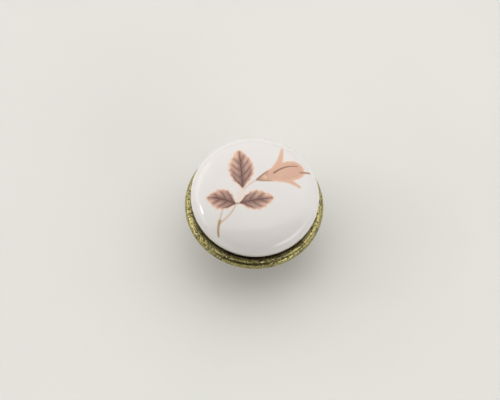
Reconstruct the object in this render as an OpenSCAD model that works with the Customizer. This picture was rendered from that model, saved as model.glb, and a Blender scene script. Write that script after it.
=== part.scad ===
// Porcelain drawer knob in a brass rim cup, with its pedestal and machine screw.
// Millimetres. +Z points away from the drawer front, and the origin is the
// centre of the foot's flat face, which lies on the front of the drawer.

/* [Rim bead] */
// Diameter over the rounded bead, the widest size of the knob
rim_d = 38; // [36:0.5:42]
// Radial width of the bead
bead_w = 2.6; // [2.2:0.1:3]
// Height of the bead
bead_h = 3; // [2.6:0.1:3.4]
// Height of the bead's centre above the foot's face
rim_z = 15.7; // [15:0.1:18]

/* [Porcelain cap] */
// Widest diameter of the porcelain
cap_d = 34.9; // [34:0.1:36]
// Height of the widest level above the bead's centre
cap_lift = 5.4; // [4.6:0.1:6.4]
// Height of the crown above the widest level
crown_h = 5.9; // [4.5:0.1:8]
// Squareness of the crown: 2 is an ellipse, more is flatter with a rounder shoulder
crown_n = 2.22; // [2:0.02:3]
// Vertical half axis of the curve that tucks in below the widest level
tuck_h = 10.15; // [9:0.05:13]
// Radius of the recess in the underside
recess_r = 12.4; // [10:0.1:13]
// Thickness of the porcelain at the middle of the crown
crown_t = 4.8; // [3:0.1:7]

/* [Cup] */
// Depth of the bowl below the bead's centre
bowl_h = 6.2; // [5.8:0.1:6.6]
// Thickness of the bowl's floor
cup_t = 1.1; // [0.8:0.1:1.4]
// Clearance round the porcelain's spigot
seat_gap = 0.1; // [0.05:0.05:0.2]

/* [Pedestal] */
// Diameter of the foot
foot_d = 18.6; // [17:0.2:22]
// Thickness of the foot's edge
foot_t = 1.9; // [1.5:0.1:2.4]
// Diameter of the neck
neck_d = 9.8; // [9:0.2:11]
// Diameter over the small bead under the cup
collar_d = 14; // [13.4:0.2:14.6]
// Outside diameter of the threaded bush
bush_d = 6; // [5.6:0.1:6.4]
// Length of the threaded bush
bush_l = 10; // [8:0.1:10]

/* [Screw] */
// Diameter over the screw's thread
screw_d = 3.9; // [3.8:0.02:3.96]
// Diameter of the bush's thread, over the same line
bush_bore_d = 4.04; // [4:0.02:4.08]
// Length of the screw under its head
screw_l = 25; // [24:0.5:27]
// Thickness of the drawer front that the screw clamps
panel_t = 18; // [16:0.5:19]
// Diameter of the screw's head
head_d = 8; // [7:0.1:8.6]
// Height of the screw's head
head_h = 2.4; // [2:0.1:3.1]
// Outside diameter of the washer
washer_d = 9; // [8.8:0.1:12]
// Thickness of the washer
washer_t = 0.8; // [0.5:0.1:1]

/* [Hidden] */

$fn = 96;

// bead: an ellipse of half axes bead_w / 2 and bead_h / 2 about (bead_r, rim_z)
bead_r = (rim_d - bead_w) / 2;

// porcelain
cap_r = cap_d / 2;
wide_z = rim_z + cap_lift;
top_z = wide_z + crown_h;
tuck_z = rim_z + 0.5;
tuck_end = asin((wide_z - tuck_z) / tuck_h);
tuck_r = cap_r * cos(tuck_end);
spigot_r = tuck_r - 0.28;
seat_z = rim_z - 2;
roof_z = top_z - crown_t;
roof_base_z = seat_z + 0.8;

// cup
moat_z = rim_z - 0.5;
seat_r = spigot_r + seat_gap;
bowl_z = rim_z - bowl_h;
floor_z = bowl_z + cup_t;
bowl_rim_z = rim_z - 1.75;
bowl_r = bead_r - 1.3;
hole_r = 4;
floor_r = 5.2;
ledge_r = seat_r - 0.5;

// pedestal
foot_r = foot_d / 2;
neck_r = neck_d / 2;
neck_z = 0.65 * bowl_z;
flare_r = foot_r - 1;
flare_z = foot_t + 0.1;
collar_r = collar_d / 2;
collar_h = 1.4;
peen_r = 5;
peen_h = 1.1;
bush_r = bush_d / 2;
bush_z = 0.3;

// screw
bear_gap = 0.05;
washer_top = -panel_t;
head_z = washer_top - washer_t - bear_gap;
tip_z = head_z + screw_l;

// quarter of an ellipse about (r, z), from angle a to angle b
function arc(r, z, rr, rz, a, b, n) =
    [for (i = [0:n]) let (t = a + (b - a) * i / n) [r + rr * cos(t), z + rz * sin(t)]];

// the crown, from its middle out to the widest level
function crown(n) =
    [for (i = [0:n]) let (t = 90 - 90 * i / n)
        [cap_r * pow(cos(t), 2 / crown_n), wide_z + crown_h * pow(sin(t), 2 / crown_n)]];

// the inside of the bowl, from the edge of its flat floor out to the ledge
function bowl_inside(n) =
    arc(floor_r, seat_z, ledge_r - floor_r, seat_z - floor_z, 270, 360, n);

// the roof of the recess, from its edge to its middle
function recess_roof(n) =
    [for (i = [0:n]) let (t = 90 * i / n)
        [i == n ? 0 : recess_r * cos(t), roof_base_z + (roof_z - roof_base_z) * sin(t)]];

// Bun-shaped cap: a flattened crown with a round shoulder, tucked in below its
// widest level to a short unglazed spigot, with a domed recess underneath.
module porcelain_cap() {
    color([0.93, 0.93, 0.92])
    rotate_extrude()
    polygon(concat(
        crown(30),
        [for (i = [1:14]) let (t = tuck_end * i / 14) [cap_r * cos(t), wide_z - tuck_h * sin(t)]],
        [[spigot_r, tuck_z], [spigot_r, seat_z + 0.2], [spigot_r - 0.2, seat_z], [recess_r, seat_z]],
        recess_roof(14)
    ));
}

// Setting cement that fills the bowl and the recess in the porcelain.
module cement_bed() {
    color([0.78, 0.76, 0.7])
    rotate_extrude()
    polygon(concat(
        [[0, floor_z + peen_h], [peen_r - 0.4, floor_z + peen_h], [peen_r, floor_z + peen_h - 0.4], [peen_r, floor_z]],
        bowl_inside(16),
        [[recess_r, seat_z]],
        recess_roof(14)
    ));
}

// Brass cup: a rounded bead round a shallow moat, a seat for the spigot, and a
// bowl that closes in to the pedestal.
module rim_cup() {
    inner = 180 + asin((rim_z - moat_z) / (bead_h / 2));
    color([0.62, 0.56, 0.33])
    rotate_extrude()
    polygon(concat(
        arc(bead_r, rim_z, bead_w / 2, bead_h / 2, inner, -112, 40),
        arc(floor_r, bowl_rim_z, bowl_r - floor_r, bowl_rim_z - bowl_z, 360, 270, 20),
        [[hole_r, bowl_z], [hole_r, floor_z]],
        bowl_inside(16),
        [[seat_r, seat_z], [seat_r, moat_z]]
    ));
}

// Turned pedestal: flared foot, waisted neck, a small bead under the cup, and a
// spigot that is peened over on the floor of the cup. Bored from below.
module pedestal() {
    color([0.58, 0.52, 0.3])
    rotate_extrude()
    polygon(concat(
        [[0, bush_z + bush_l + 0.1], [bush_r, bush_z + bush_l + 0.1], [bush_r, 0]],
        [[foot_r - 0.5, 0]],
        arc(foot_r - 0.6, foot_t / 2, 0.6, foot_t / 2 - 0.12, -60, 60, 8),
        [[foot_r - 0.7, foot_t]],
        arc(flare_r, neck_z, flare_r - neck_r, neck_z - flare_z, 270, 180, 14),
        arc(collar_r - 0.6, neck_z, collar_r - 0.6 - neck_r, bowl_z - collar_h - neck_z, 180, 90, 8),
        arc(collar_r - 0.7, bowl_z - collar_h / 2, 0.7, collar_h / 2, -90, 90, 12),
        [[hole_r, bowl_z], [hole_r, floor_z], [peen_r, floor_z]],
        [[peen_r, floor_z + peen_h - 0.4], [peen_r - 0.4, floor_z + peen_h], [0, floor_z + peen_h]]
    ));
}

// Threaded bush, pressed into the bore of the pedestal.
module threaded_insert() {
    color([0.75, 0.66, 0.38])
    difference() {
        translate([0, 0, bush_z]) cylinder(h = bush_l, r = bush_r);
        translate([0, 0, bush_z - 1]) cylinder(h = bush_l + 2, d = bush_bore_d);
        translate([0, 0, bush_z - 0.01])
            cylinder(h = 0.5, r1 = bush_bore_d / 2 + 0.45, r2 = bush_bore_d / 2 - 0.01);
    }
}

// Flat washer between the screw's head and the back of the drawer front.
module washer() {
    color([0.75, 0.75, 0.76])
    translate([0, 0, washer_top - washer_t])
    difference() {
        cylinder(h = washer_t, d = washer_d);
        translate([0, 0, -1]) cylinder(h = washer_t + 2, d = 4.3);
    }
}

// Machine screw with a low domed head and a cross recess. The thread is drawn
// as a plain cylinder over its crests.
module mounting_screw() {
    head_r = head_d / 2;
    color([0.72, 0.72, 0.74])
    difference() {
        rotate_extrude()
        polygon(concat(
            [[0, tip_z], [screw_d / 2 - 0.5, tip_z], [screw_d / 2, tip_z - 0.5], [screw_d / 2, head_z]],
            [[head_r, head_z], [head_r, head_z - 0.5]],
            [for (i = [1:10]) let (t = 90 * i / 10)
                [i == 10 ? 0 : head_r * cos(t), head_z - 0.5 - (head_h - 0.5) * sin(t)]]
        ));
        for (a = [0, 90])
            rotate([0, 0, a])
            translate([-2.1, -0.45, head_z - head_h - 1])
                cube([4.2, 0.9, 2.5]);
        translate([0, 0, head_z - head_h - 1]) cylinder(h = 2.8, r = 1);
    }
}

porcelain_cap();
cement_bed();
rim_cup();
pedestal();
threaded_insert();
washer();
mounting_screw();
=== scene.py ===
import math

import bmesh
import bpy
import numpy as np
from mathutils import Matrix, Vector, noise


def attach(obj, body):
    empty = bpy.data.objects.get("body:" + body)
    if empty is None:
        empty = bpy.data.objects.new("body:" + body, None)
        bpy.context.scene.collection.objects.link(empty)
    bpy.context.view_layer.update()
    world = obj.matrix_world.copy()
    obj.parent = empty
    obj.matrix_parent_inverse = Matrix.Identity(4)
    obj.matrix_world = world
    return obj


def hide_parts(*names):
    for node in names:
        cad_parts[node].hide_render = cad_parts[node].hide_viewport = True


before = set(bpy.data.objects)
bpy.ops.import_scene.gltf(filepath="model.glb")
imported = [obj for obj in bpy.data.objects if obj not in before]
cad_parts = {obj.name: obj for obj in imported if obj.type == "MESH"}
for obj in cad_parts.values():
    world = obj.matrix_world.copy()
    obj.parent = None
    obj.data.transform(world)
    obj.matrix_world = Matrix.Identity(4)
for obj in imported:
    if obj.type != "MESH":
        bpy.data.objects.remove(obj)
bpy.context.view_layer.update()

# A porcelain drawer knob: the profiles below repeat the CAD part's dimensions in millimetres, and MM turns them
# into metres. The origin is the centre of the foot's face, and +Z points out of the drawer front.

MM = 0.001

rim_d, bead_w, bead_h, rim_z = 38.0, 2.6, 3.0, 15.7
cap_r, cap_lift, crown_h, crown_n, tuck_h, recess_r, crown_t = 17.45, 5.4, 5.9, 2.22, 10.15, 12.4, 4.8
bowl_h, cup_t, seat_gap = 6.2, 1.1, 0.1
foot_r, foot_t, neck_r, collar_r = 9.3, 1.9, 4.9, 7.0
pitch = 0.7

bead_r = (rim_d - bead_w) / 2
wide_z = rim_z + cap_lift
top_z = wide_z + crown_h
tuck_z = rim_z + 0.5
tuck_end = math.asin((wide_z - tuck_z) / tuck_h)
tuck_r = cap_r * math.cos(tuck_end)
spigot_r = tuck_r - 0.28
seat_z = rim_z - 2
roof_z = top_z - crown_t
roof_base_z = seat_z + 0.8
moat_z = rim_z - 0.5
seat_r = spigot_r + seat_gap
bowl_z = rim_z - bowl_h
floor_z = bowl_z + cup_t
bowl_rim_z = rim_z - 1.75
bowl_r = bead_r - 1.3
hole_r = 4.0
floor_r = 5.2
ledge_r = seat_r - 0.5
neck_z = 0.65 * bowl_z
flare_r = foot_r - 1
flare_z = foot_t + 0.1
collar_h = 1.4
peen_r, peen_h = 5.0, 1.1
bush_r, bush_z, bush_l = 3.0, 0.3, 10.0
head_z = -18.85
tip_z = head_z + 25
head_r, head_h = 4.0, 2.4


# ---------------------------------------------------------------- small tools

def arc(r, z, rr, rz, a, b, n):
    """Quarter of an ellipse about (r, z), from angle a to angle b in degrees."""
    t = np.radians(np.linspace(a, b, n + 1))
    return [(r + rr * math.cos(x), z + rz * math.sin(x)) for x in t]


def eased(corners, n=5):
    """A closed outline of (r, z, radius) corners with each corner rounded off."""
    out = []
    k = len(corners)
    for i, (x, z, rad) in enumerate(corners):
        p = np.array((x, z))
        a = np.array(corners[i - 1][:2]) - p
        b = np.array(corners[(i + 1) % k][:2]) - p
        if rad <= 0:
            out.append((x, z))
            continue
        a = a / np.linalg.norm(a) * min(rad, 0.48 * np.linalg.norm(a))
        b = b / np.linalg.norm(b) * min(rad, 0.48 * np.linalg.norm(b))
        for t in np.linspace(0, 1, n + 1):
            q = p + (1 - t) ** 2 * a + t ** 2 * b
            out.append((q[0], q[1]))
    return out


def finer(points, step, closed=True):
    """The same outline with no gap between points longer than step."""
    pts = [np.array(p, float) for p in points]
    if closed:
        pts.append(pts[0])
    out = []
    for a, b in zip(pts, pts[1:]):
        n = max(1, int(math.ceil(np.linalg.norm(b - a) / step)))
        out += [a + (b - a) * i / n for i in range(n)]
    if not closed:
        out.append(pts[-1])
    keep = [out[0]]
    for p in out[1:]:
        if np.linalg.norm(p - keep[-1]) > 1e-4:
            keep.append(p)
    if closed and np.linalg.norm(keep[0] - keep[-1]) < 1e-4:
        keep.pop()
    return np.array(keep)


def outward(prof, closed=True):
    """Unit normals of a closed (r, z) outline, pointing out of the solid."""
    if closed:
        d = np.roll(prof, -1, 0) - np.roll(prof, 1, 0)
        x, y = prof[:, 0], prof[:, 1]
        area = 0.5 * np.sum(x * np.roll(y, -1) - np.roll(x, -1) * y)
    else:
        d = np.gradient(prof, axis=0)
        loop = np.vstack([prof, [0, prof[0, 1]]]) if prof[-1, 0] > 0 else prof
        x, y = loop[:, 0], loop[:, 1]
        area = 0.5 * np.sum(x * np.roll(y, -1) - np.roll(x, -1) * y)
    nrm = np.stack([d[:, 1], -d[:, 0]], 1)
    nrm /= np.maximum(np.linalg.norm(nrm, axis=1), 1e-9)[:, None]
    return nrm if area > 0 else -nrm


def fbm(p, scale, seed, octaves=2):
    """Smooth noise of about -1 to 1 at each of the points p, in mm."""
    out = np.zeros(len(p))
    for i, q in enumerate(p):
        out[i] = noise.fractal(Vector((q[0] * scale + seed, q[1] * scale - seed, q[2] * scale + 2 * seed)), 1.0, 2.0, octaves)
    return out


def piece(name, verts_mm, faces, fields=None, sharp=32):
    """A mesh object from points in mm, with float fields on its points."""
    me = bpy.data.meshes.new(name)
    me.from_pydata((np.asarray(verts_mm) * MM).tolist(), [], faces)
    me.validate()
    bm = bmesh.new()
    bm.from_mesh(me)
    bmesh.ops.recalc_face_normals(bm, faces=bm.faces[:])
    bm.to_mesh(me)
    bm.free()
    for key, val in (fields or {}).items():
        a = me.attributes.new(key, "FLOAT", "POINT")
        a.data.foreach_set("value", np.asarray(val, np.float32))
    me.shade_smooth()
    if sharp:
        me.set_sharp_from_angle(angle=math.radians(sharp))
    ob = bpy.data.objects.new(name, me)
    bpy.context.scene.collection.objects.link(ob)
    return ob


def lathe(prof, n, lift=None, closed=True):
    """Turns an (r, z) outline about Z. Returns points, faces, and each point's place along the outline and round it.
    lift(points, along, round) gives how far each point is pushed out of the surface, in mm."""
    prof = np.asarray(prof, float)
    k = len(prof)
    nrm = outward(prof, closed)
    on_axis = prof[:, 0] < 1e-6
    th = np.arange(n) * 2 * math.pi / n
    verts, index, along, turn, nn = [], [], [], [], []
    for i, (r, z) in enumerate(prof):
        if on_axis[i]:
            index.append([len(verts)] * n)
            verts.append((0, 0, z))
            along.append(i)
            turn.append(0)
            nn.append((0, 0, nrm[i, 1]))
        else:
            index.append(list(range(len(verts), len(verts) + n)))
            for t in th:
                c, s = math.cos(t), math.sin(t)
                verts.append((r * c, r * s, z))
                along.append(i)
                turn.append(t)
                nn.append((nrm[i, 0] * c, nrm[i, 0] * s, nrm[i, 1]))
    verts, along, turn, nn = map(np.array, (verts, along, turn, nn))
    faces = []
    for i in range(k if closed else k - 1):
        a, b = index[i], index[(i + 1) % k]
        if on_axis[i] and on_axis[(i + 1) % k]:
            continue
        for j in range(n):
            j2 = (j + 1) % n
            f = [a[j], a[j2], b[j2], b[j]]
            f = [v for m, v in enumerate(f) if v not in f[:m]]
            if len(f) > 2:
                faces.append(f)
    if lift is not None:
        verts = verts + nn * lift(verts, along, turn)[:, None]
    return verts, faces, along, turn


def lin(r, g, b):
    """A colour given as 0-255 display values, as scene-linear RGBA."""
    c = np.array([r, g, b]) / 255
    c = np.where(c <= 0.04045, c / 12.92, ((c + 0.055) / 1.055) ** 2.4)
    return (float(c[0]), float(c[1]), float(c[2]), 1.0)


class Nodes:
    """Short names for the shader nodes that the materials use."""

    def __init__(self, name):
        self.mat = bpy.data.materials.new(name)
        self.mat.use_nodes = True
        self.t = self.mat.node_tree
        self.t.nodes.clear()
        self.out = self.t.nodes.new("ShaderNodeOutputMaterial")
        self.bsdf = self.t.nodes.new("ShaderNodeBsdfPrincipled")
        self.t.links.new(self.bsdf.outputs[0], self.out.inputs[0])
        self.coord = self.t.nodes.new("ShaderNodeTexCoord").outputs["Object"]

    def put(self, socket, value):
        if isinstance(value, bpy.types.NodeSocket):
            self.t.links.new(value, socket)
        else:
            socket.default_value = value

    def attr(self, name):
        n = self.t.nodes.new("ShaderNodeAttribute")
        n.attribute_name = name
        return n.outputs["Fac"]

    def mapped(self, scale, shift=(0, 0, 0), vec=None):
        n = self.t.nodes.new("ShaderNodeMapping")
        self.put(n.inputs["Vector"], vec or self.coord)
        n.inputs["Scale"].default_value = scale if isinstance(scale, tuple) else (scale,) * 3
        n.inputs["Location"].default_value = shift
        return n.outputs[0]

    def noise(self, scale, detail=2.0, rough=0.5, vec=None, distort=0.0):
        n = self.t.nodes.new("ShaderNodeTexNoise")
        self.put(n.inputs["Vector"], vec or self.coord)
        n.inputs["Scale"].default_value = scale
        n.inputs["Detail"].default_value = detail
        n.inputs["Roughness"].default_value = rough
        n.inputs["Distortion"].default_value = distort
        return n.outputs["Fac"]

    def cells(self, scale, vec=None, feature="F1", rand=1.0):
        n = self.t.nodes.new("ShaderNodeTexVoronoi")
        n.feature = feature
        self.put(n.inputs["Vector"], vec or self.coord)
        n.inputs["Scale"].default_value = scale
        n.inputs["Randomness"].default_value = rand
        return n.outputs["Distance"]

    def math(self, op, a, b=None, c=None):
        n = self.t.nodes.new("ShaderNodeMath")
        n.operation = op
        self.put(n.inputs[0], a)
        if b is not None:
            self.put(n.inputs[1], b)
        if c is not None:
            self.put(n.inputs[2], c)
        return n.outputs[0]

    def fit(self, v, a, b, c=0.0, d=1.0, smooth=True):
        n = self.t.nodes.new("ShaderNodeMapRange")
        n.interpolation_type = "SMOOTHSTEP" if smooth else "LINEAR"
        self.put(n.inputs["Value"], v)
        n.inputs["From Min"].default_value = a
        n.inputs["From Max"].default_value = b
        n.inputs["To Min"].default_value = c
        n.inputs["To Max"].default_value = d
        return n.outputs["Result"]

    def mix(self, f, a, b, mode="MIX"):
        n = self.t.nodes.new("ShaderNodeMix")
        n.data_type = "RGBA"
        n.blend_type = mode
        self.put(n.inputs[0], f)
        self.put(n.inputs[6], a)
        self.put(n.inputs[7], b)
        return n.outputs[2]

    def xyz(self, x, y, z):
        n = self.t.nodes.new("ShaderNodeCombineXYZ")
        for s, v in zip(n.inputs, (x, y, z)):
            self.put(s, v)
        return n.outputs[0]

    def parts(self):
        n = self.t.nodes.new("ShaderNodeSeparateXYZ")
        self.put(n.inputs[0], self.coord)
        return n.outputs

    def bump(self, height, strength, distance):
        n = self.t.nodes.new("ShaderNodeBump")
        n.inputs["Strength"].default_value = strength
        n.inputs["Distance"].default_value = distance
        self.put(n.inputs["Height"], height)
        self.put(self.bsdf.inputs["Normal"], n.outputs[0])


# ------------------------------------------------------------- printed spray
# The print is drawn flat, in mm on the unrolled crown: x to the right, y away from the front, from the crown's middle.

def smooth_line(pts, n=10, closed=False):
    """A smooth line through the points, or round them if closed."""
    p = np.array(pts, float)
    if closed:
        p = np.vstack([p[-1], p, p[0], p[1]])
    else:
        p = np.vstack([2 * p[0] - p[1], p, 2 * p[-1] - p[-2]])
    out = []
    for a, b, c, d in zip(p, p[1:], p[2:], p[3:]):
        for t in np.arange(n) / n:
            out.append(0.5 * (2 * b + (c - a) * t + (2 * a - 5 * b + 4 * c - d) * t * t + (3 * b - a - 3 * c + d) * t ** 3))
    out.append(p[-2])
    return np.array(out)


def along_line(P, line):
    """For each point: how far along the line its nearest place is (0 to 1), and its distance, positive to the left."""
    seg = np.diff(line, axis=0)
    ln = np.linalg.norm(seg, axis=1)
    cum = np.concatenate([[0], np.cumsum(ln)])
    best = np.full(len(P), 1e9)
    t_out = np.zeros(len(P))
    side = np.zeros(len(P))
    for i, (a, s, l) in enumerate(zip(line, seg, ln)):
        if l < 1e-9:
            continue
        v = P - a
        t = np.clip((v @ s) / (l * l), 0, 1)
        w = v - t[:, None] * s
        d = np.hypot(w[:, 0], w[:, 1])
        m = d < best
        best[m] = d[m]
        t_out[m] = (cum[i] + t[m] * l) / cum[-1]
        side[m] = np.sign(s[0] * v[m, 1] - s[1] * v[m, 0])
    return t_out, best * np.where(side == 0, 1, side)


def step(x, a, b):
    t = np.clip((x - a) / (b - a), 0, 1)
    return t * t * (3 - 2 * t)


def close_to(P, pts, room):
    """Which points lie within room of the box round pts."""
    q = np.array(pts, float)
    return np.all((P > q.min(0) - room) & (P < q.max(0) + room), axis=1)


def stroke(P, pts, w0, w1, curve=1.0):
    """Edge distance in mm of a tapering line: positive inside."""
    out = np.full(len(P), -3.0)
    m = close_to(P, pts, 3.0)
    t, d = along_line(P[m], smooth_line(pts))
    w = w0 + (w1 - w0) * t ** curve
    out[m] = w / 2 - np.abs(d)
    return out


def shape(P, pts):
    """Edge distance in mm of a closed smooth outline: positive inside."""
    out = np.full(len(P), -1.5)
    m = close_to(P, pts, 1.8)
    line = smooth_line(pts, 6, True)
    q = P[m]
    d = np.abs(along_line(q, line)[1])
    inside = np.zeros(len(q), bool)
    for (xa, ya), (xb, yb) in zip(line, line[1:]):
        cut = (ya > q[:, 1]) != (yb > q[:, 1])
        with np.errstate(divide="ignore", invalid="ignore"):
            inside ^= cut & (q[:, 0] < (xb - xa) * (q[:, 1] - ya) / (yb - ya) + xa)
    out[m] = np.where(inside, d, -d)
    return out


def leaf(P, outline, veins):
    """A leaf from its outline and its veins, each (points, first width, last width, strength).
    Returns edge distance, the dark stain that gathers round the veins (0 to 1) and the veins (0 to 1)."""
    edge = shape(P, outline)
    m = edge > -1.0
    stain = np.zeros(len(P))
    vein = np.zeros(len(P))
    for pts, w0, w1, k in veins:
        t, d = along_line(P[m], smooth_line(pts))
        w = w0 + (w1 - w0) * t
        d = np.abs(d)
        fade = k * (1 - 0.25 * step(t, 0.75, 1.0))
        stain[m] += fade * np.exp(-(np.maximum(d - w / 2, 0) / (0.36 + 0.48 * w)) ** 2)
        vein[m] = np.maximum(vein[m], 0.92 * fade * np.exp(-(d / (0.70 * w)) ** 2))
    stain = (1 - np.exp(-0.95 * stain)) * step(edge, -0.05, 0.45)
    return edge, stain, vein * step(edge, -0.1, 0.25)


def leaf_form(base, tip, half, bend=0.0, wide=0.95, teeth=6, pairs=4, turn=0.0):
    """A textbook toothed leaf with herringbone veins: its outline and its veins for leaf()."""
    a, b = np.array(base, float), np.array(tip, float)
    u = (b - a) / np.linalg.norm(b - a)
    n = np.array([-u[1], u[0]])

    def at(t, off):
        return tuple(a + (b - a) * t + n * (bend * 4 * t * (1 - t) + off))

    def width(t):
        return half * math.sin(math.pi * min(max(t, 0.0), 1.0) ** wide) ** 0.88

    sides = []
    for side in (1, -1):
        pts = []
        for i in range(teeth):
            t0, dt = 0.10 + 0.82 * i / teeth, 0.82 / teeth
            lift = 0.17 + 0.11 * math.sin(2.3 * i + turn + side)
            pts.append(at(t0 + 0.08 * dt, side * (width(t0) - 0.13)))
            pts.append(at(t0 + 0.52 * dt, side * (width(t0 + 0.5 * dt) + 0.3 * lift)))
            pts.append(at(t0 + 0.88 * dt, side * (width(t0 + 0.8 * dt) + lift)))
        sides.append(pts)
    outline = [at(0.0, 0.0)] + sides[0] + [at(1.0, 0.0)] + sides[1][::-1]
    veins = [([at(t, 0.0) for t in (0.01, 0.2, 0.4, 0.6, 0.78, 0.94)], 0.66, 0.36, 1.0)]
    for side in (1, -1):
        for i in range(pairs):
            t0 = 0.05 + (0.02 if side > 0 else 0.09) + 0.70 * i / pairs
            t1 = min(t0 + 0.27 - 0.03 * i, 0.95)
            reach = 0.80 * width(t1)
            pts = [at(t0 + (t1 - t0) * q ** 1.25, side * reach * q ** 0.88) for q in (0.0, 0.33, 0.67, 1.0)]
            veins.append((pts, 0.54 - 0.04 * i, 0.38 - 0.03 * i, 0.92 - 0.05 * i))
    return outline, veins


def bud_form(base, tip, half):
    """A textbook closed bud, slim at the calyx, full past the middle and blunt at the end: outline, and points along it."""
    a, b = np.array(base, float), np.array(tip, float)
    u = (b - a) / np.linalg.norm(b - a)
    n = np.array([-u[1], u[0]])

    def at(t, off):
        return tuple(a + (b - a) * t + n * off * half)

    ts = [0.07, 0.16, 0.26, 0.37, 0.48, 0.6, 0.72, 0.83, 0.92, 0.98]
    full = [1.40 * t ** 0.76 * (1 - t ** 3.6) ** 0.52 for t in ts]
    outline = [at(0.0, 0.0)] + [at(t, w) for t, w in zip(ts, full)] + [at(1.0, 0.0)] + [at(t, -w) for t, w in zip(ts, full)][::-1]
    return outline, at


def bow(start, end, sag=0.0):
    """A plain shallow arc between two points, for a stem."""
    a, b = np.array(start, float), np.array(end, float)
    u = (b - a) / np.linalg.norm(b - a)
    return [tuple(a + (b - a) * t + np.array([-u[1], u[0]]) * sag * 4 * t * (1 - t)) for t in (0.0, 0.25, 0.5, 0.75, 1.0)]


def spray(P):
    """The fields of the printed spray at flat points P, in mm: three toothed leaves, a closed bud and a forked stalk."""
    la = leaf(P, *leaf_form((-3.5, -0.8), (-5.5, 11.6), 3.45, -0.15, 0.92, 6, 4, 0.4))
    lb = leaf(P, *leaf_form((-4.8, -5.5), (-13.2, -3.7), 3.0, -0.45, 0.92, 5, 3, 1.7))
    lc = leaf(P, *leaf_form((-4.2, -5.2), (5.2, -2.7), 2.85, 0.1, 0.98, 5, 3, 2.9))
    edge = np.maximum.reduce([la[0], lb[0], lc[0]])
    core = np.maximum.reduce([la[1], lb[1], lc[1]])
    vein = np.maximum.reduce([la[2], lb[2], lc[2]])

    # rosebud: a closed bud, one sepal curve mirrored to both sides, a point at its tip, and a plain arc for the outer petal
    outline, at = bud_form((-0.1, 2.0), (12.9, 8.0), 3.5)
    bud = shape(P, outline)

    def sepal(side, reach):
        return [at(0.44 + 0.31 * q ** 0.8, side * (0.45 + reach * q ** 1.1)) for q in (0.0, 0.33, 0.67, 1.0)]

    tip = bow(at(0.82, -0.30), at(1.09, -0.46))
    bud = np.maximum.reduce([bud, stroke(P, sepal(1, 1.7), 2.3, 0.8), stroke(P, sepal(-1, 1.1), 2.0, 0.8), stroke(P, tip, 1.5, 0.5)])
    marks = [([at(t, 0.40 * math.sin(math.pi * (t - 0.28) / 0.78)) for t in (0.38, 0.48, 0.58, 0.68, 0.78, 0.88)], 0.58, 0.32, 0.9),
             (tip[1:], 0.56, 0.44, 0.72),
             (bow(at(0.22, 0.32), at(0.22, -0.32), 0.3), 0.42, 0.30, 0.22)]
    for side, k in ((1, 0.66), (-1, 0.48)):
        marks.append(([at(0.02 + 0.26 * q, side * 0.44 * q ** 0.75) for q in (0.0, 0.33, 0.67, 1.0)], 0.62, 0.36, k))
        marks.append((bow(at(0.60, side * 0.62), at(0.86, side * 0.50), 0.0), 0.20, 0.14, 0.18))
    line = np.zeros(len(P))
    for pts, w0, w1, k in marks:
        line = np.maximum(line, k * step(stroke(P, pts, w0, w1), -0.14, 0.16))
    calyx = step(P[:, 0], 4.3, 0.2) * step(bud, -0.05, 0.3) * step(P[:, 1], 6.8, 4.8)
    heart = at(0.19, 0.02)
    spot = np.exp(-(((P[:, 0] - heart[0]) / 0.85) ** 2 + ((P[:, 1] - heart[1]) / 0.62) ** 2))

    # stems, each a plain arc between its two ends
    thin = np.maximum.reduce([
        0.75 * step(stroke(P, bow((-3.2, -1.0), (-0.1, 2.0), 0.1), 0.42, 0.34), -0.16, 0.16),
        step(stroke(P, bow((-5.0, -6.0), (-9.0, -11.0), 0.45), 0.36, 0.46), -0.14, 0.14),
        step(stroke(P, bow((-8.2, -6.4), (-9.0, -10.8), -0.1), 0.36, 0.46), -0.14, 0.14)])
    stalk = step(stroke(P, bow((-9.0, -10.4), (-9.2, -14.6), -0.2), 0.85, 0.55), -0.14, 0.16)
    wash = 0.75 * step(stroke(P, bow((-3.5, -0.9), (-4.5, -4.9)), 1.7, 1.3), -0.9, 0.9)
    wash = np.maximum(wash, 0.5 * step(stroke(P, bow((-3.3, -0.2), (0.2, 2.2), 0.1), 0.9, 0.7), -0.3, 0.45))
    wash = np.maximum(wash, 0.4 * step(stroke(P, bow((-5.0, -6.0), (-8.9, -10.9), 0.45), 1.0, 0.7), -0.4, 0.4))
    knot = np.exp(-(((P[:, 0] + 4.5) / 0.6) ** 2 + ((P[:, 1] + 5.3) / 0.38) ** 2))
    vein = np.maximum(vein, 0.85 * knot)
    return {
        "leaf_edge": np.clip(edge, -1.5, 4), "leaf_dark": core, "leaf_vein": vein,
        "bud_edge": np.clip(bud, -1.5, 4), "bud_line": line, "bud_calyx": calyx, "bud_spot": spot,
        "stem_thin": thin, "stem_stalk": stalk, "wash": wash,
    }


# ------------------------------------------------------------- porcelain cap

def crown_path():
    """The crown's outline at even steps of arc length: r, z, and the whole length."""
    t = np.radians(np.linspace(90, 0, 6000))
    r = cap_r * np.clip(np.cos(t), 0, 1) ** (2 / crown_n)
    z = wide_z + crown_h * np.clip(np.sin(t), 0, 1) ** (2 / crown_n)
    s = np.concatenate([[0], np.cumsum(np.hypot(np.diff(r), np.diff(z)))])
    return s, r, z


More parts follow.
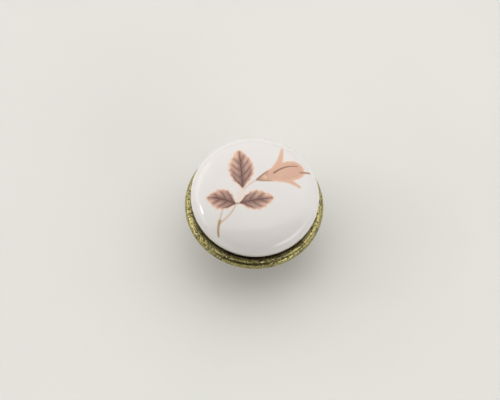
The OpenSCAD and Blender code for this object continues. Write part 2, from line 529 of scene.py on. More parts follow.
def porcelain():
    m = 220
    s_all, r_all, z_all = crown_path()
    whole = s_all[-1]
    g = np.linspace(-1, 1, m + 1)
    a, b = np.meshgrid(g, g, indexing="ij")
    a, b = a.ravel(), b.ravel()
    far = np.abs(a) > np.abs(b)
    with np.errstate(divide="ignore", invalid="ignore"):
        rho = np.where(far, a, b)
        phi = np.where(far, math.pi / 4 * b / a, math.pi / 2 - math.pi / 4 * a / b)
    phi[(a == 0) & (b == 0)] = 0
    fx, fy = rho * np.cos(phi), rho * np.sin(phi)
    q = np.hypot(fx, fy)
    ang = np.arctan2(fy, fx)
    s = np.clip(q, 0, 1) * whole
    r, z = np.interp(s, s_all, r_all), np.interp(s, s_all, z_all)
    verts = [tuple(v) for v in np.stack([r * np.cos(ang), r * np.sin(ang), z], 1)]
    flat = list(zip(s * np.cos(ang), s * np.sin(ang)))
    at = lambda i, j: i * (m + 1) + j
    faces = [[at(i, j), at(i + 1, j), at(i + 1, j + 1), at(i, j + 1)] for i in range(m) for j in range(m)]
    ring = ([at(m, j) for j in range(m)] + [at(i, m) for i in range(m, 0, -1)]
            + [at(0, j) for j in range(m, 0, -1)] + [at(i, 0) for i in range(m)])
    ring = sorted(ring, key=lambda v: math.atan2(verts[v][1], verts[v][0]))
    # below the widest level: the tuck, the rolled edge of the glaze, the bare spigot and the recess
    tuck = [(cap_r * math.cos(t), wide_z - tuck_h * math.sin(t)) for t in np.linspace(0, tuck_end, 17)[1:-1]]
    low = [(tuck_r + 0.02, tuck_z + 0.12), (tuck_r - 0.03, tuck_z + 0.02), (tuck_r - 0.14, tuck_z - 0.02),
           (spigot_r, tuck_z - 0.1), (spigot_r, tuck_z - 0.5), (spigot_r, seat_z + 1.2), (spigot_r, seat_z + 0.25),
           (spigot_r - 0.06, seat_z + 0.08), (spigot_r - 0.2, seat_z), (spigot_r - 1.2, seat_z), (recess_r + 0.25, seat_z),
           (recess_r + 0.06, seat_z + 0.06), (recess_r, seat_z + 0.25)]
    roof = [(recess_r * math.cos(t), roof_base_z + (roof_z - roof_base_z) * math.sin(t)) for t in np.radians(np.linspace(0, 90, 11))[:-1]]
    rings = tuck + low + roof
    glaze = [1.0] * (len(tuck) + 2) + [0.55] + [0.0] * (len(rings) - len(tuck) - 3)
    bare = [0.0] * len(verts)
    th = [math.atan2(verts[v][1], verts[v][0]) for v in ring]
    prev = ring
    edge_flat = whole
    pr, pz = cap_r, wide_z
    for (rr, zz), gl in zip(rings, glaze):
        edge_flat += math.hypot(rr - pr, zz - pz)
        pr, pz = rr, zz
        cur = list(range(len(verts), len(verts) + len(th)))
        for t in th:
            verts.append((rr * math.cos(t), rr * math.sin(t), zz))
            flat.append((edge_flat * math.cos(t), edge_flat * math.sin(t)))
            bare.append(1 - gl)
        n = len(th)
        faces += [[prev[i], cur[i], cur[(i + 1) % n], prev[(i + 1) % n]] for i in range(n)]
        prev = cur
    verts.append((0, 0, roof_z))
    flat.append((99, 99))
    bare.append(1)
    n = len(prev)
    faces += [[prev[i], len(verts) - 1, prev[(i + 1) % n]] for i in range(n)]
    verts = np.array(verts)
    flat = np.array(flat)
    # a fired piece is never quite true: it leans by hundredths of a millimetre
    rad = np.hypot(verts[:, 0], verts[:, 1])
    ang = np.arctan2(verts[:, 1], verts[:, 0])
    soft = step(verts[:, 2], seat_z + 2.4, wide_z)
    warp = soft * (0.035 * np.cos(2 * ang + 0.7) + 0.02 * np.cos(3 * ang - 1.1)) * (rad / cap_r) ** 2
    dirs = np.stack([np.cos(ang), np.sin(ang), np.zeros(len(ang))], 1)
    verts = verts + dirs * (warp - 0.03 * soft)[:, None]
    wave = fbm(verts, 0.11, 3.1, 1) * 0.03 * soft
    verts[:, 2] += wave * (rad < cap_r * 0.97) * np.where(verts[:, 2] > wide_z, 1, 0)
    verts[:, 2] = np.minimum(verts[:, 2], top_z)
    fields = spray(flat)
    for key in fields:
        fields[key] = np.where(rad < 0.0, 0, fields[key])
    fields["bare"] = np.array(bare)
    return piece("knob_porcelain_cap", verts, faces, fields, sharp=0)


# -------------------------------------------------------------- brass pieces

def brass_fields(verts, along, prof, hollow, worn):
    """Patina fields from the outline: hollow(r, z) and worn(r, z) give 0 to 1, and s is mm along the outline."""
    p = np.asarray(prof)
    cum = np.concatenate([[0], np.cumsum(np.linalg.norm(np.diff(p, axis=0), axis=1))])
    rz = p[along]
    return {"hollow": hollow(rz[:, 0], rz[:, 1]), "worn": worn(rz[:, 0], rz[:, 1]), "line": cum[along]}


def rim_cup():
    inner = 180 + math.degrees(math.asin((rim_z - moat_z) / (bead_h / 2)))
    bead = arc(bead_r, rim_z, bead_w / 2, bead_h / 2, inner, -112, 92)
    bowl = arc(floor_r, bowl_rim_z, bowl_r - floor_r, bowl_rim_z - bowl_z, 360, 270, 34)
    inside = arc(floor_r, seat_z, ledge_r - floor_r, seat_z - floor_z, 270, 360, 16)
    prof = finer(bead + bowl + [(hole_r + 0.15, bowl_z), (hole_r, bowl_z + 0.15), (hole_r, floor_z)] + inside
                 + [(seat_r - 0.05, seat_z), (seat_r, seat_z + 0.05), (seat_r, moat_z - 0.08), (seat_r + 0.08, moat_z)], 0.75)

    def lift(v, along, turn):
        r, z = prof[along, 0], prof[along, 1]
        shown = np.where((r > seat_r + 0.2) | (z < bowl_rim_z), 1.0, 0.0) * np.where((z > floor_z - 0.02) & (r < ledge_r), 0, 1)
        shown *= np.where((z > bowl_z + 0.02) | (r > hole_r + 0.8), 1.0, 0.0)
        ring = 0.012 * np.sin(r * 9.0 + z * 7.0) + 0.012 * np.sin(r * 3.1 - z * 5.3 + 1.0)
        cast = 0.022 * fbm(v, 0.9, 7.7, 2)
        out = ring * 0.6 + cast - 0.02
        return np.minimum(out, 0.0) * shown

    verts, faces, along, turn = lathe(prof, 384, lift)
    hollow = lambda r, z: np.clip(np.maximum.reduce([
        0.10 * step(r, 16.5, 16.1) * step(z, moat_z - 0.6, moat_z),
        0.75 * np.exp(-((r - bowl_r) / 0.9) ** 2 - ((z - bowl_rim_z) / 0.45) ** 2),
        0.8 * step(r, collar_r + 1.0, collar_r - 0.6) * step(z, 12.0, 10.0),
        np.where((r < seat_r + 0.1) & (z > floor_z + 0.1), 1.0, 0.0)]), 0, 1)
    worn = lambda r, z: np.clip(step(r, 17.2, 18.4) * step(z, rim_z - 1.4, rim_z - 0.3)
                                + 0.35 * np.exp(-((z - 12.0) / 1.2) ** 2) * step(r, 9, 13), 0, 1)
    fields = brass_fields(verts, along, prof, hollow, worn)
    r, z = prof[along, 0], prof[along, 1]
    # mask for painted light: a paler colour on the inner slope of the bead, which lifts the shade under the porcelain's
    # overhang
    fields["inner"] = step(r, 17.75, 17.2) * step(r, 16.35, 16.5) * step(z, moat_z - 0.1, moat_z + 0.5)
    return piece("knob_rim_cup", verts, faces, fields, sharp=40)


def pedestal():
    corners = [(0, bush_z + bush_l + 0.1, 0), (bush_r, bush_z + bush_l + 0.1, 0), (bush_r, 0.0, 0.22)]
    foot = [(foot_r - 0.5, 0.0)] + arc(foot_r - 0.6, foot_t / 2, 0.6, foot_t / 2 - 0.12, -72, 72, 14) + [(foot_r - 0.62, foot_t - 0.02), (foot_r - 0.8, foot_t)]
    base = eased(corners, 4)[:]
    flare = arc(flare_r, neck_z, flare_r - neck_r, neck_z - flare_z, 270, 180, 26)
    upper = arc(collar_r - 0.6, neck_z, collar_r - 0.6 - neck_r, bowl_z - collar_h - neck_z, 180, 90, 12)
    bead = arc(collar_r - 0.7, bowl_z - collar_h / 2, 0.7, collar_h / 2, -90, 90, 18)
    top = [(hole_r, bowl_z), (hole_r, floor_z), (peen_r - 0.05, floor_z), (peen_r, floor_z + 0.06),
           (peen_r, floor_z + peen_h - 0.45), (peen_r - 0.16, floor_z + peen_h - 0.14), (peen_r - 0.45, floor_z + peen_h), (0, floor_z + peen_h)]
    prof = finer(base + foot + flare + upper + bead + top, 0.4)

    def lift(v, along, turn):
        r, z = prof[along, 0], prof[along, 1]
        shown = np.where((z < bowl_z - 0.03) & (z > 0.05) & (r > bush_r + 0.1), 1.0, 0.0)
        tool = 0.012 * np.sin(z * 15.0 + 0.6 * r) + 0.008 * np.sin(r * 13.0)
        return np.minimum(tool + 0.02 * fbm(v, 0.9, 11.3, 2) - 0.018, 0.0) * shown

    verts, faces, along, turn = lathe(prof, 288, lift)
    hollow = lambda r, z: np.clip(np.maximum.reduce([
        0.9 * np.exp(-((r - flare_r) / 0.55) ** 2 - ((z - flare_z) / 0.35) ** 2),
        0.9 * np.exp(-((r - (collar_r - 0.7)) / 0.8) ** 2 - ((z - (bowl_z - collar_h)) / 0.4) ** 2),
        0.8 * np.exp(-((z - bowl_z) / 0.3) ** 2) * step(r, 7.5, 6.0),
        0.45 * np.exp(-((z - neck_z) / 1.8) ** 2) * step(r, 6.2, 5.0)]), 0, 1)
    worn = lambda r, z: np.clip(step(r, 8.7, 9.2) + 0.9 * np.exp(-((r - collar_r) / 0.35) ** 2 - ((z - (bowl_z - 0.7)) / 0.5) ** 2)
                                + 0.6 * np.where(z < 0.03, 1.0, 0.0), 0, 1)
    return piece("knob_pedestal", verts, faces, brass_fields(verts, along, prof, hollow, worn), sharp=40)


# ------------------------------------------------------- bush, screw, washer

def tooth(x, flat_top=0.125, flat_low=0.25):
    """One pitch of a thread, 1 at the crest and 0 at the root, for x from 0 to 1 with the crest at 0.5."""
    d = np.abs((x % 1.0) - 0.5) * 2
    return 1 - np.clip((d - flat_top) / (1 - flat_top - flat_low), 0, 1)


def threaded_insert():
    """Brass bush with a straight knurl outside and the mating thread inside."""
    n = 144
    th = np.arange(n) * 2 * math.pi / n
    z0, z1 = bush_z, bush_z + bush_l
    zs_in = np.linspace(z1, z0, 190)
    knurl = np.where((np.arange(n) // 2) % 2 == 0, 0.0, -0.11)
    rows = []
    # outside, from the bottom up, with a plain lead-in at each end
    for z, dr, kn in ((z0, -0.32, 0), (z0 + 0.14, -0.14, 0.3), (z0 + 0.45, -0.01, 1), (z0 + 3.2, -0.01, 1), (z0 + 3.4, -0.2, 0),
                      (z0 + 4.2, -0.2, 0), (z0 + 4.4, -0.01, 1), (z1 - 0.5, -0.01, 1), (z1 - 0.16, -0.14, 0.3), (z1, -0.34, 0)):
        rows.append((np.full(n, bush_r + dr) + kn * knurl, np.full(n, z)))
    # inside, from the top down: the thread's grooves follow the screw's crests with a little room
    for z in zs_in:
        x = z / pitch - th / (2 * math.pi)
        deep = tooth(x, 0.25, 0.14)
        r = 1.6 + (2.02 - 1.6) * deep
        lead = max(0.0, 1 - (z - z0) / 0.5) * 0.5 + max(0.0, 1 - (z1 - z) / 0.4) * 0.4
        r = np.maximum(r, np.minimum(2.02 + lead - 0.02, 1.6 + lead * 1.9))
        rows.append((np.minimum(r, 2.5), np.full(n, z)))
    verts, faces = [], []
    for r, z in rows:
        verts += list(np.stack([r * np.cos(th), r * np.sin(th), z], 1))
    k = len(rows)
    for i in range(k):
        for j in range(n):
            a, b = i * n, ((i + 1) % k) * n
            faces.append([a + j, a + (j + 1) % n, b + (j + 1) % n, b + j])
    return piece("knob_threaded_bush", np.array(verts), faces, None, sharp=30)


def washer():
    top, low, ri, ro = -18.0, -18.8, 2.15, 4.5
    # stamped: a rolled-over upper edge and a sharp, slightly drawn lower one
    prof = eased([(ri, low, 0.05), (ro, low, 0.07), (ro, top, 0.24), (ri, top, 0.2)], 5)
    prof = finer(prof, 0.3)

    def lift(v, along, turn):
        r, z = prof[along, 0], prof[along, 1]
        return np.minimum(0.008 * fbm(v, 1.3, 2.2, 2) - 0.006, 0) * np.where(np.abs(z - top) < 0.02, 0.4, 1.0)

    verts, faces, along, turn = lathe(prof, 160, lift)
    return piece("mount_washer", verts, faces, None, sharp=38)


def screw():
    """Machine screw: a right-hand thread, a pan head and a cross recess with tapering wings."""
    n = 96
    th = np.arange(n) * 2 * math.pi / n
    crest, root = 1.95, 1.5
    rows = [(np.full(n, 0.0), np.full(n, tip_z))]
    zs = np.concatenate([[tip_z], np.arange(tip_z - 0.05, head_z + 0.9, -pitch / 11), [head_z + 0.75, head_z + 0.45, head_z + 0.2]])
    rows = []
    for z in zs:
        x = z / pitch - th / (2 * math.pi)
        r = root + (crest - root) * tooth(x, 0.11, 0.2)
        r = np.minimum(r, 1.42 + 0.8 * (tip_z - z))
        out = np.clip((z - (head_z + 0.85)) / 0.7, 0, 1)
        r = r * out + 1.72 * (1 - out)
        rows.append((r, np.full(n, z)))
    for r, z in ((1.78, head_z + 0.1), (1.9, head_z + 0.02), (2.0, head_z), (3.0, head_z), (head_r - 0.2, head_z), (head_r - 0.05, head_z - 0.05), (head_r, head_z - 0.18)):
        rows.append((np.full(n, r), np.full(n, z)))
    rows.append((np.full(n, head_r), np.full(n, head_z - 0.5)))
    for t in np.radians(np.linspace(0, 90, 16))[1:-1]:
        rows.append((np.full(n, head_r * math.cos(t) ** 0.86), np.full(n, head_z - 0.5 - (head_h - 0.5) * math.sin(t))))
    verts, faces = [], []
    verts.append((0, 0, tip_z + 0.0))
    for r, z in rows:
        verts += list(np.stack([r * np.cos(th), r * np.sin(th), z], 1))
    verts.append((0, 0, head_z - head_h))
    last = len(verts) - 1
    k = len(rows)
    for j in range(n):
        faces.append([0, 1 + (j + 1) % n, 1 + j])
        faces.append([last, 1 + (k - 1) * n + j, 1 + (k - 1) * n + (j + 1) % n])
        for i in range(k - 1):
            a, b = 1 + i * n, 1 + (i + 1) * n
            faces.append([a + j, a + (j + 1) % n, b + (j + 1) % n, b + j])
    ob = piece("mount_screw", np.array(verts), faces, None, sharp=0)

    # the recess: four wings that narrow towards the bottom, and a conical middle
    def cross(w, reach, z):
        q = []
        for a in range(4):
            c, s = math.cos(a * math.pi / 2), math.sin(a * math.pi / 2)
            for x, y in ((reach - 0.12, -w / 2), (reach, -w / 2 + 0.12), (reach, w / 2 - 0.12), (reach - 0.12, w / 2), (w / 2 + 0.32, w / 2), (w / 2, w / 2 + 0.32)):
                q.append((c * x - s * y, s * x + c * y, z))
        return q

    levels = [(1.08, 2.16, head_z - head_h - 0.6), (1.0, 2.1, head_z - head_h), (0.86, 1.65, head_z - head_h + 0.9), (0.66, 1.12, head_z - head_h + 1.55), (0.34, 0.5, head_z - head_h + 1.75)]
    cv, cf = [], []
    for w, reach, z in levels:
        cv += cross(w, reach, z)
    kk = len(cross(1, 2, 0))
    for i in range(len(levels) - 1):
        for j in range(kk):
            cf.append([i * kk + j, i * kk + (j + 1) % kk, (i + 1) * kk + (j + 1) % kk, (i + 1) * kk + j])
    cf.append(list(range(kk))[::-1])
    cf.append(list(range((len(levels) - 1) * kk, len(levels) * kk)))
    cutter = piece("tmp_recess_tool", np.array(cv), cf, None, sharp=0)
    mod = ob.modifiers.new("recess", "BOOLEAN")
    mod.operation = "DIFFERENCE"
    mod.solver = "EXACT"
    mod.object = cutter
    bpy.context.view_layer.update()
    dg = bpy.context.evaluated_depsgraph_get()
    done = bpy.data.meshes.new_from_object(ob.evaluated_get(dg))
    ob.modifiers.clear()
    ob.data = done
    bpy.data.objects.remove(cutter)
    done.shade_smooth()
    done.set_sharp_from_angle(angle=math.radians(34))
    return ob


# ------------------------------------------------------------------ materials

def print_colour(r, g, b):
    """The glaze's own colour that shows as this display colour under the scene's light, below the glaze's reflection."""
    c, w = lin(r, g, b), lin(229, 224, 220)
    return tuple(max(0.01, min(0.95, 0.78 * (x - 0.05) / (y - 0.05))) for x, y in zip(c[:3], w[:3])) + (1.0,)


def porcelain_material():
    n = Nodes("glazed_porcelain")
    soft = n.noise(260, 3, 0.55)
    grain = n.noise(2600, 3, 0.6)
    cloud = n.noise(55, 2, 0.5)
    wobble = n.fit(n.noise(1500, 3, 0.6), 0.3, 0.7, -1, 1, smooth=False)
    white = n.mix(n.fit(cloud, 0.35, 0.65), (0.775, 0.742, 0.727, 1), (0.795, 0.766, 0.752, 1))
    # a few pale iron specks under the glaze
    spot = n.fit(n.cells(420), 0.10, 0.035)
    rare = n.fit(n.noise(140, 0, 0.5), 0.62, 0.7)
    white = n.mix(n.math("MULTIPLY", n.math("MULTIPLY", spot, rare), 0.35), white, (0.45, 0.36, 0.28, 1))

    col = white
    # loose wash of colour round the joints of the stems
    wash = n.math("MULTIPLY", n.attr("wash"), n.fit(soft, 0.3, 0.65, 0.55, 1.0))
    col = n.mix(n.math("MULTIPLY", wash, 0.85), col, print_colour(234, 204, 180))

    # stems
    thin = n.math("MULTIPLY", n.attr("stem_thin"), n.fit(grain, 0.3, 0.62, 0.6, 1.0))
    col = n.mix(n.math("MULTIPLY", thin, 0.7), col, print_colour(196, 160, 116))
    stalk = n.math("MULTIPLY", n.attr("stem_stalk"), n.fit(grain, 0.3, 0.6, 0.75, 1.0))
    col = n.mix(n.math("MULTIPLY", stalk, 0.9), col, print_colour(172, 138, 74))

    # leaves: a peach margin with a watery edge, a mauve stain round the veins, and the dark veins
    edge = n.math("ADD", n.attr("leaf_edge"), n.math("MULTIPLY", wobble, 0.13))
    bleed = n.fit(edge, -0.5, 0.1)
    col = n.mix(n.math("MULTIPLY", bleed, 0.4), col, print_colour(240, 208, 184))
    body = n.fit(edge, -0.18, 0.34)
    peach = n.mix(n.fit(soft, 0.35, 0.65), print_colour(230, 186, 154), print_colour(222, 174, 148))
    col = n.mix(n.math("MULTIPLY", body, 0.93), col, peach)
    dark = n.math("MULTIPLY", n.attr("leaf_dark"), n.fit(grain, 0.28, 0.68, 0.84, 1.06))
    mauve = n.mix(n.fit(dark, 0.4, 0.95), print_colour(184, 144, 130), print_colour(136, 108, 99))
    col = n.mix(n.fit(dark, 0.08, 0.6, 0.0, 0.96), col, mauve)
    vein = n.math("MULTIPLY", n.attr("leaf_vein"), n.fit(grain, 0.25, 0.6, 0.8, 1.0))
    col = n.mix(n.fit(vein, 0.25, 0.92, 0.0, 0.88), col, print_colour(108, 75, 69))

    # bud
    bedge = n.math("ADD", n.attr("bud_edge"), n.math("MULTIPLY", wobble, 0.1))
    body = n.fit(bedge, -0.16, 0.24)
    flesh = n.mix(n.fit(bedge, 0.1, 1.0), print_colour(228, 182, 154), print_colour(214, 166, 142))
    flesh = n.mix(n.fit(soft, 0.35, 0.7, 0.0, 0.6), flesh, print_colour(222, 175, 145))
    flesh = n.mix(n.fit(grain, 0.45, 0.75, 0.0, 0.3), flesh, print_colour(206, 158, 136))
    col = n.mix(n.math("MULTIPLY", body, 0.95), col, flesh)
    col = n.mix(n.math("MULTIPLY", n.attr("bud_calyx"), 0.6), col, print_colour(176, 134, 114))
    col = n.mix(n.math("MULTIPLY", n.attr("bud_spot"), 0.85), col, print_colour(226, 194, 158))
    col = n.mix(n.math("MULTIPLY", n.attr("bud_line"), 0.95), col, print_colour(134, 94, 80))

    # bare, unglazed clay below the edge of the glaze
    clay = n.mix(n.fit(grain, 0.3, 0.7), (0.66, 0.61, 0.54, 1), (0.78, 0.74, 0.68, 1))
    bare = n.attr("bare")
    col = n.mix(n.fit(bare, 0.1, 0.9), col, clay)
    n.put(n.bsdf.inputs["Base Color"], col)

    # the transfer is a touch less glossy than the bare glaze
    inked = n.math("MAXIMUM", n.fit(edge, -0.1, 0.2), n.fit(bedge, -0.1, 0.2))
    rough = n.math("ADD", n.fit(n.noise(180, 2, 0.6), 0.3, 0.7, 0.075, 0.115), n.math("MULTIPLY", inked, 0.05))
    rough = n.math("ADD", rough, n.math("MULTIPLY", bare, 0.55))
    n.put(n.bsdf.inputs["Roughness"], rough)
    n.bsdf.inputs["IOR"].default_value = 1.5
    n.bsdf.inputs["Coat Weight"].default_value = 0.35
    n.bsdf.inputs["Coat Roughness"].default_value = 0.05
    h = n.math("ADD", n.math("MULTIPLY", n.noise(420, 2, 0.5), 0.7), n.math("MULTIPLY", n.math("MULTIPLY", grain, bare), 1.5))
    n.bump(h, 0.14, 0.0002)
    return n.mat


def antique_brass_material():
    n = Nodes("antique_brass")
    x, y, z = n.parts()
    line = n.attr("line")
    hollow, worn, inner = n.attr("hollow"), n.attr("worn"), n.attr("inner")
    drift = n.noise(230, 3, 0.6)
    grit = n.noise(2250, 3, 0.62)
    grit2 = n.noise(3700, 2, 0.6)
    # rubbing marks run round the part
    rub = n.noise(1.0, 3, 0.6, vec=n.xyz(n.math("MULTIPLY", x, 260), n.math("MULTIPLY", y, 260), n.math("MULTIPLY", line, 5.5)))
    speck = n.math("ADD", n.math("MULTIPLY", grit, 0.66), n.math("MULTIPLY", grit2, 0.34))
    speck = n.math("ADD", speck, n.math("MULTIPLY", n.math("SUBTRACT", rub, 0.5), 0.12))
    speck = n.math("ADD", speck, n.math("MULTIPLY", n.math("SUBTRACT", drift, 0.5), 0.30))
    speck = n.math("ADD", speck, n.math("MULTIPLY", worn, 0.035))
    speck = n.math("SUBTRACT", speck, n.math("MULTIPLY", hollow, 0.42))
    clear = n.fit(speck, 0.462, 0.532)
    metal = n.mix(n.fit(grit2, 0.38, 0.62), (0.40, 0.355, 0.134, 1), (0.58, 0.525, 0.238, 1))
    metal = n.mix(n.fit(drift, 0.35, 0.7, 0.0, 0.5), metal, (0.32, 0.29, 0.098, 1))
    patina = n.mix(n.fit(drift, 0.35, 0.65), (0.058, 0.036, 0.013, 1), (0.105, 0.074, 0.024, 1))
    col = n.mix(clear, patina, metal)
    pits = n.math("MULTIPLY", n.fit(n.cells(2200), 0.50, 0.30), n.fit(n.noise(900, 2, 0.5), 0.37, 0.50))
    col = n.mix(n.math("MULTIPLY", pits, 0.88), col, (0.062, 0.042, 0.015, 1))
    glint = n.math("MULTIPLY", n.fit(grit2, 0.58, 0.68), n.math("SUBTRACT", 1.0, hollow))
    col = n.mix(n.math("MULTIPLY", glint, 0.6), col, (0.74, 0.69, 0.40, 1))
    # painted light: the inner side of the bead is painted a paler colour, which lifts the shade under the porcelain's
    # overhang, and it is made duller
    col = n.mix(n.math("MULTIPLY", inner, n.fit(clear, 0.0, 1.0, 0.06, 0.50)), col, (0.80, 0.74, 0.42, 1))
    n.put(n.bsdf.inputs["Base Color"], col)
    n.put(n.bsdf.inputs["Metallic"], n.fit(clear, 0.0, 0.8, 0.82, 1.0))
    rough = n.fit(clear, 0.0, 1.0, 0.44, 0.21)
    rough = n.math("ADD", rough, n.fit(grit, 0.3, 0.7, -0.03, 0.05))
    rough = n.math("ADD", rough, n.math("MULTIPLY", inner, 0.10))
    n.put(n.bsdf.inputs["Roughness"], rough)
    h = n.math("ADD", n.math("MULTIPLY", grit, 0.9), n.math("MULTIPLY", grit2, 0.6))
    h = n.math("ADD", h, n.math("MULTIPLY", rub, 0.3))
    h = n.math("SUBTRACT", h, n.math("MULTIPLY", pits, 0.5))
    n.bump(h, 0.32, 0.00009)
    return n.mat


def plain_brass_material():
    n = Nodes("plain_brass")
    x, y, z = n.parts()
    tarnish = n.noise(420, 3, 0.6)
    fine = n.noise(3000, 3, 0.6)
    turned = n.noise(1.0, 2, 0.5, vec=n.xyz(n.math("MULTIPLY", x, 120), n.math("MULTIPLY", y, 120), n.math("MULTIPLY", z, 5200)))
    col = n.mix(n.fit(tarnish, 0.35, 0.7), (0.80, 0.62, 0.27, 1), (0.58, 0.43, 0.18, 1))
    col = n.mix(n.fit(fine, 0.55, 0.75, 0, 0.45), col, (0.30, 0.20, 0.08, 1))
    n.put(n.bsdf.inputs["Base Color"], col)
    n.bsdf.inputs["Metallic"].default_value = 1.0
    n.put(n.bsdf.inputs["Roughness"], n.fit(turned, 0.3, 0.7, 0.22, 0.4))
    n.bump(n.math("ADD", turned, n.math("MULTIPLY", fine, 0.5)), 0.3, 0.00005)
    return n.mat


def zinc_material():
    n = Nodes("zinc_plated_steel")
    spangle = n.cells(650, rand=1.0)
    cloud = n.noise(380, 3, 0.6)
    fine = n.noise(5200, 3, 0.6)
    col = n.mix(n.fit(cloud, 0.35, 0.7), (0.66, 0.68, 0.70, 1), (0.52, 0.54, 0.56, 1))
    col = n.mix(n.fit(spangle, 0.2, 0.7, 0, 0.25), col, (0.78, 0.79, 0.78, 1))
    col = n.mix(n.fit(fine, 0.6, 0.8, 0, 0.5), col, (0.30, 0.30, 0.30, 1))
    n.put(n.bsdf.inputs["Base Color"], col)
    n.bsdf.inputs["Metallic"].default_value = 1.0
    n.put(n.bsdf.inputs["Roughness"], n.fit(cloud, 0.3, 0.7, 0.24, 0.42))
    n.bump(n.math("ADD", n.math("MULTIPLY", fine, 0.6), n.math("MULTIPLY", spangle, 0.3)), 0.25, 0.00005)
    return n.mat


def cement_material():
    n = Nodes("setting_cement")
    sand = n.noise(2400, 4, 0.7)
    lump = n.noise(420, 3, 0.6)
    hole = n.fit(n.cells(900), 0.16, 0.05)
    col = n.mix(n.fit(lump, 0.3, 0.7), (0.60, 0.56, 0.47, 1), (0.72, 0.69, 0.61, 1))
    col = n.mix(n.fit(sand, 0.45, 0.75, 0, 0.5), col, (0.42, 0.39, 0.33, 1))
    col = n.mix(n.math("MULTIPLY", hole, 0.6), col, (0.25, 0.23, 0.19, 1))
    n.put(n.bsdf.inputs["Base Color"], col)
    n.put(n.bsdf.inputs["Roughness"], n.fit(sand, 0.3, 0.7, 0.8, 0.95))
    n.bump(n.math("SUBTRACT", sand, hole), 0.5, 0.00012)
    return n.mat


def floor_material():
    n = Nodes("pale_board")
    col = n.mix(n.fit(n.noise(14, 3, 0.5), 0.35, 0.65), (0.812, 0.806, 0.765, 1), (0.828, 0.821, 0.780, 1))
    n.put(n.bsdf.inputs["Base Color"], col)
    n.bsdf.inputs["Roughness"].default_value = 0.62
    n.bump(n.noise(900, 3, 0.6), 0.05, 0.0003)
    return n.mat


# -------------------------------------------------------------------- assembly

antique = antique_brass_material()
cap = porcelain()
cap.data.materials.append(porcelain_material())
cup = rim_cup()
cup.data.materials.append(antique)
ped = pedestal()
ped.data.materials.append(antique)
bush = threaded_insert()
bush.data.materials.append(plain_brass_material())
zinc = zinc_material()
wash = washer()
wash.data.materials.append(zinc)
bolt = screw()
bolt.data.materials.clear()
bolt.data.materials.append(zinc)

for ob, body, node, slot in (
    (cap, "knob", "porcelain_cap", "porcelain"),
    (cup, "knob", "rim_cup", "antique_brass"),
    (ped, "knob", "pedestal", "antique_brass"),
    (bush, "knob", "threaded_insert", "plain_brass"),
    (wash, "washer", "washer", "zinc_steel"),
    (bolt, "screw", "mounting_screw", "zinc_steel"),
):
    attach(ob, body)
    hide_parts(node)

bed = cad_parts["cement_bed"]
bed.data.materials.clear()
bed.data.materials.append(cement_material())

# floor: flat round the knob, and sweeping up to a low wall far away on all sides
sweep = [(0.5, 0), (1.6, 0)] + [(1.6 + 1.2 * math.sin(t), 0.5 - 0.5 * math.cos(t)) for t in np.radians(np.linspace(8, 88, 11))]
turns = np.radians(np.arange(96) * 3.75)
me = bpy.data.meshes.new("floor")
me.from_pydata(
    [(0, 0, 0)] + [(r * math.cos(t), r * math.sin(t), z) for r, z in sweep for t in turns], [],
    [(0, 1 + j, 1 + (j + 1) % 96) for j in range(96)]
    + [(1 + i * 96 + j, 97 + i * 96 + j, 97 + i * 96 + (j + 1) % 96, 1 + i * 96 + (j + 1) % 96) for i in range(len(sweep) - 1) for j in range(96)])
me.shade_smooth()
floor = bpy.data.objects.new("floor", me)
floor.data.materials.append(floor_material())
bpy.context.scene.collection.objects.link(floor)


# ------------------------------------------------------------ light and camera

def area(name, place, aim, wide, high, watts, colour=(1, 1, 1), shape="RECTANGLE", spread=180):
    lamp = bpy.data.lights.new(name, "AREA")
    lamp.shape = shape
    lamp.size, lamp.size_y = wide, high
    lamp.energy = watts
    lamp.color = colour
    lamp.spread = math.radians(spread)
    ob = bpy.data.objects.new(name, lamp)
    bpy.context.scene.collection.objects.link(ob)
    ob.location = place
    d = Vector(aim) - Vector(place)
    ob.rotation_euler = d.to_track_quat("-Z", "Y").to_euler()
    return ob


def toward(az, el, dist):
    """A point from the knob's middle: az 0 is behind it, 90 to its right, and el is above the horizon."""
    a, e = math.radians(az), math.radians(el)
    return (dist * math.sin(a) * math.cos(e), dist * math.cos(a) * math.cos(e), 0.02 + dist * math.sin(e))


MID = (0, 0, 0.02)
area("left_strip", toward(-90, 29, 0.75), MID, 0.13, 0.068, 0.24, (1, 1, 1))
area("overhead", (0.28, 0.34, 0.75), (0, 0.1, 0), 1.3, 1.0, 1.25, (1.0, 0.99, 0.975))

world = bpy.data.worlds.new("studio")
bpy.context.scene.world = world
world.use_nodes = True
wt = world.node_tree
wt.nodes.clear()
w_out = wt.nodes.new("ShaderNodeOutputWorld")
w_bg = wt.nodes.new("ShaderNodeBackground")
w_tc = wt.nodes.new("ShaderNodeTexCoord")
w_sep = wt.nodes.new("ShaderNodeSeparateXYZ")
wt.links.new(w_tc.outputs["Generated"], w_sep.inputs[0])
X, Y, Z = w_sep.outputs


def w_fit(src, a, b, c, d):
    n = wt.nodes.new("ShaderNodeMapRange")
    n.interpolation_type = "SMOOTHSTEP"
    wt.links.new(src, n.inputs["Value"])
    for key, v in (("From Min", a), ("From Max", b), ("To Min", c), ("To Max", d)):
        n.inputs[key].default_value = v
    return n.outputs[0]


def w_math(op, *args):
    n = wt.nodes.new("ShaderNodeMath")
    n.operation = op
    for sock, v in zip(n.inputs, args):
        if isinstance(v, bpy.types.NodeSocket):
            wt.links.new(v, sock)
        else:
            sock.default_value = v
    return n.outputs[0]


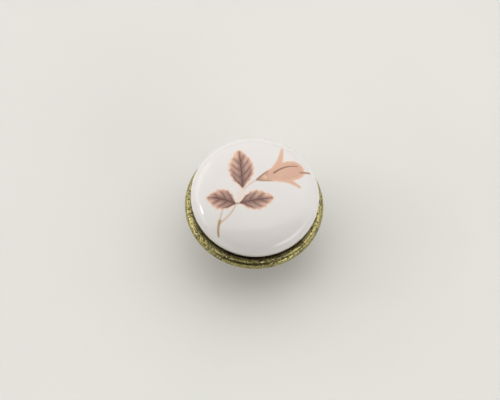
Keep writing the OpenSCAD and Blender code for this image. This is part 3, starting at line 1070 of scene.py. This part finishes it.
# a bright ceiling whose front edge runs just in front of the zenith and ends to the right of the knob, a window low on
# each side, a dimmer wall behind and to the right, and a dark part in front
edge = w_math("ADD", w_math("MULTIPLY_ADD", X, -0.35, Y), 0.165)
ceiling = w_math("MULTIPLY", w_fit(edge, -0.06, 0.06, 0.0, 1.12), w_fit(X, 0.62, 0.80, 1.0, 0.0))
right = w_math("MULTIPLY", w_fit(X, 0.42, 0.60, 0.0, 2.8), w_fit(Z, 0.42, 0.54, 1.0, 0.0))
right = w_math("MULTIPLY", right, w_fit(Y, -0.40, -0.05, 1.0, 0.40))
left = w_math("MULTIPLY", w_fit(X, -0.60, -0.46, 2.0, 0.0), w_fit(Z, 0.42, 0.58, 1.0, 0.0))
left = w_math("MULTIPLY", left, w_fit(Y, -0.60, -0.20, 0.30, 1.0))
wall = w_math("MULTIPLY", w_fit(X, 0.50, 0.70, 0.0, 0.90), w_fit(Y, -0.15, 0.1, 0.0, 1.0))
front = w_fit(Z, 0.02, 0.10, 0.18, 0.04)
corner = w_math("MULTIPLY", w_fit(w_math("ABSOLUTE", X), 0.24, 0.46, 0.0, 0.20), w_fit(Z, 0.26, 0.42, 0.0, 1.0))
front = w_math("MAXIMUM", front, corner)
glow = w_math("MAXIMUM", w_math("MAXIMUM", ceiling, wall), w_math("MAXIMUM", right, left))
wt.links.new(w_math("MAXIMUM", glow, front), w_bg.inputs["Strength"])
w_bg.inputs["Color"].default_value = (1.0, 0.99, 0.97, 1)
wt.links.new(w_bg.outputs[0], w_out.inputs[0])

# camera: 64 degrees above the horizon, in front, rolled by 4.7 degrees
E, ROLL, DIST, SCALE = math.radians(64.0), math.radians(4.7), 0.450, 3.647
f = Vector((0, math.cos(E), -math.sin(E)))
u0 = Vector((0, math.sin(E), math.cos(E)))
r0 = Vector((1, 0, 0))
U = u0 * math.cos(ROLL) - r0 * math.sin(ROLL)
R = r0 * math.cos(ROLL) + u0 * math.sin(ROLL)
target = Vector((0, 0, rim_z * MM)) - R * (4.2 / SCALE * MM) + U * (4.9 / SCALE * MM)
place = target - f * DIST
cam_data = bpy.data.cameras.new("camera")
cam_data.sensor_width = 36.0
cam_data.lens = SCALE * DIST / MM * 36.0 / 500
cam_data.clip_start = 0.01
cam_data.clip_end = 20
cam = bpy.data.objects.new("camera", cam_data)
bpy.context.scene.collection.objects.link(cam)
rot = Matrix((R, U, -f)).transposed().to_4x4()
cam.matrix_world = Matrix.Translation(place) @ rot
bpy.context.scene.camera = cam
bpy.context.scene.view_settings.view_transform = "Standard"
bpy.context.scene.view_settings.look = "None"
bpy.context.scene.view_settings.exposure = 0.0
bpy.context.scene.view_settings.gamma = 1.0
